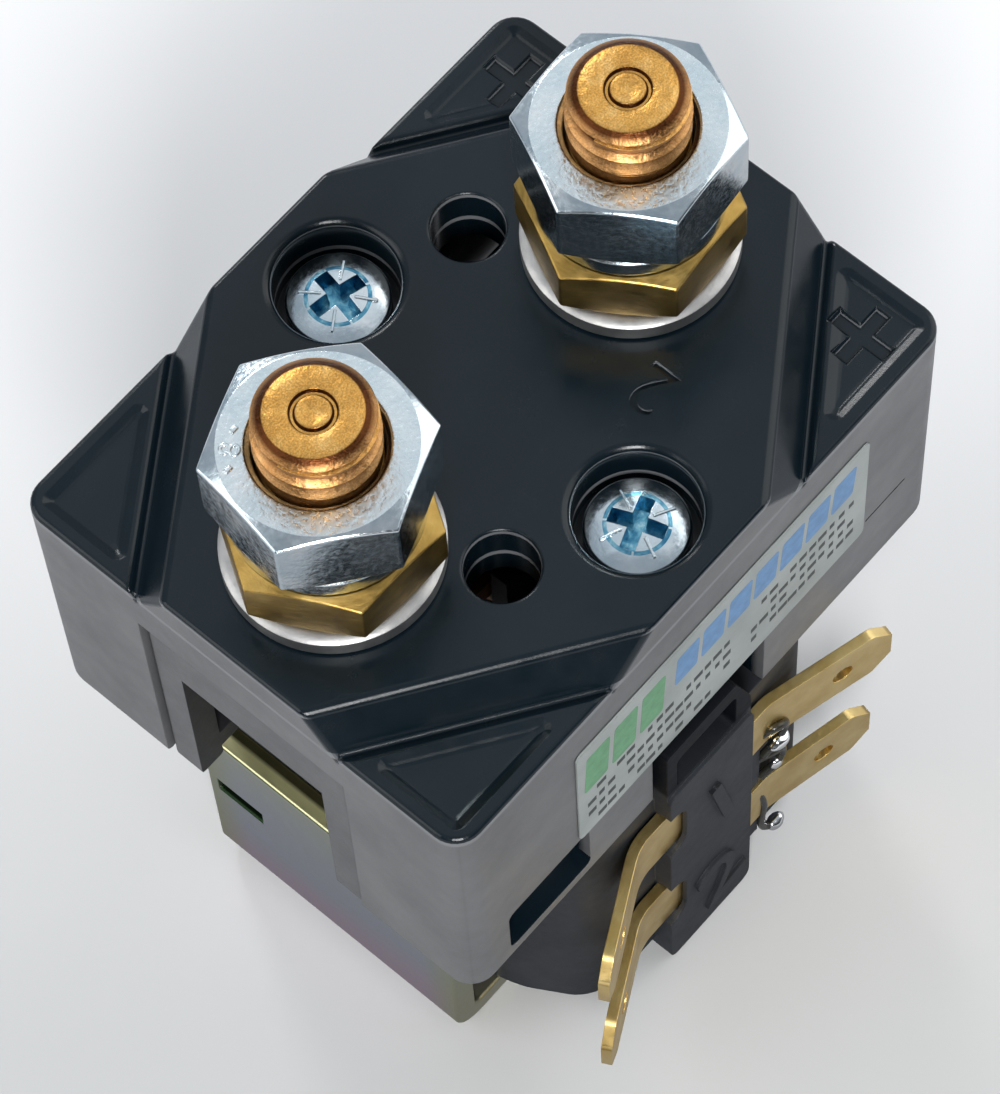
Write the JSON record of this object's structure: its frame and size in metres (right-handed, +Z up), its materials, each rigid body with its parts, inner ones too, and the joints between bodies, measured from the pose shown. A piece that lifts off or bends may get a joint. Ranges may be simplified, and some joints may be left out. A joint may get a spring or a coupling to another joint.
{
  "type": "contactor",
  "caption": "Direct-current contactor: black moulded cover with copper main studs, nuts and washers, over a steel U frame holding a moulded coil with brass spade terminals.",
  "frame": {"origin": "centre of the underside of the steel frame", "axes": "+Z up along the studs, +X from main stud 1 to main stud 2, coil terminals on the -Y side"},
  "size_m": [0.0482, 0.0424, 0.0779],
  "materials": {
    "black_moulding": "glossy black thermoplastic",
    "inner_moulding": "satin dark moulding",
    "coil_moulding": "matt charcoal moulding",
    "bobbin_nylon": "natural nylon",
    "enamelled_copper": "enamelled copper wire, wound solid",
    "stud_copper": "turned copper, satin",
    "silver_tip": "silver alloy contact",
    "brass": "bare brass",
    "spade_brass": "bright brass sheet",
    "blue_zinc": "steel, blue zinc plate",
    "washer_steel": "steel, dull plate",
    "passivated_steel": "sheet steel, yellow-green passivated zinc plate",
    "magnet_iron": "turned soft iron",
    "spring_steel": "bright steel",
    "label_foil": "pale silver foil with coloured fields"
  },
  "bodies": {
    "housing": {"steel_frame": "passivated_steel", "yoke_plate": "passivated_steel", "coil_body": "coil_moulding", "coil_bobbin": "bobbin_nylon", "coil_winding": "enamelled_copper", "fixed_pole": "magnet_iron", "return_spring": "spring_steel", "contact_housing": "inner_moulding", "cover": "black_moulding", "cover_screw_1": "blue_zinc", "cover_screw_2": "blue_zinc", "label": "label_foil", "main_stud_1": "stud_copper", "main_stud_2": "stud_copper", "fixed_tip_1": "silver_tip", "fixed_tip_2": "silver_tip", "plain_washer_1": "washer_steel", "plain_washer_2": "washer_steel", "brass_nut_1": "brass", "brass_nut_2": "brass", "spring_washer_1": "blue_zinc", "spring_washer_2": "blue_zinc", "steel_nut_1": "blue_zinc", "steel_nut_2": "blue_zinc", "coil_terminal_upper": "spade_brass", "coil_terminal_lower": "spade_brass"},
    "plunger": {"plunger": "magnet_iron", "spindle": "spring_steel", "spindle_clip": "spring_steel", "contact_spring": "spring_steel"},
    "bridge": {"moving_contact": "stud_copper", "moving_tip_1": "silver_tip", "moving_tip_2": "silver_tip", "contact_bush": "bobbin_nylon"}
  },
  "joints": [
    {"name": "plunger_slide", "type": "slide", "parent": "housing", "child": "plunger", "axis": [0, 0, 1], "range_m": [0, 0.003], "stiffness_N_per_m": 500, "springref_m": -0.002, "deforming": ["return_spring"]},
    {"name": "bridge_slide", "type": "slide", "parent": "plunger", "child": "bridge", "axis": [0, 0, 1], "range_m": [-0.00075, 0], "deforming": ["contact_spring"]}
  ],
  "couplings": [
    {"joint": "bridge_slide", "follows": "plunger_slide", "ratio": -0.25}
  ]
}
